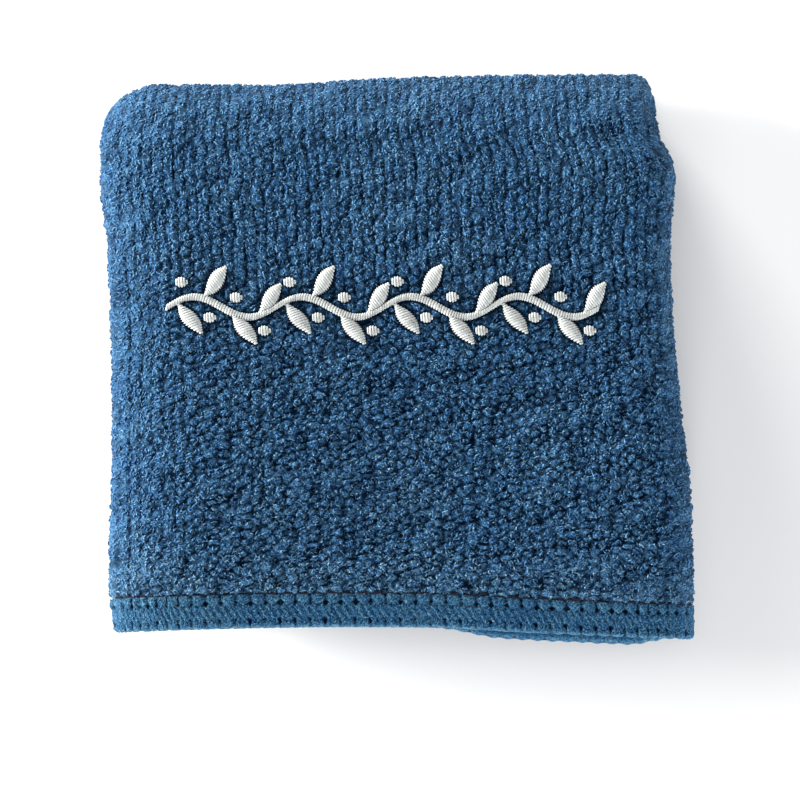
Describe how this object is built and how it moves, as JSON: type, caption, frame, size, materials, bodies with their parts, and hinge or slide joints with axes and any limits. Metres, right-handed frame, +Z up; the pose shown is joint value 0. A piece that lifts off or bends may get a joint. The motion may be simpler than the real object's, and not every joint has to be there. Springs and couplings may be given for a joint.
{
  "type": "folded terry cleaning cloth",
  "caption": "Square microfibre terry cleaning cloth with an overlocked hem, folded in thirds both ways into a small soft pad and lying face up.",
  "frame": {"origin": "on the surface that the cloth lies on, under the middle of its box", "axes": "+Z up out of the cloth's face, +Y from the front hem towards the thick round fold, +X to the right across the face"},
  "size_m": [0.1178, 0.1146, 0.0252],
  "materials": {
    "terry": "deep blue looped terry pile with a teal blue overlocked hem, matt with a faint sheen"
  },
  "bodies": {
    "root": {"cloth": "terry"}
  },
  "joints": []
}
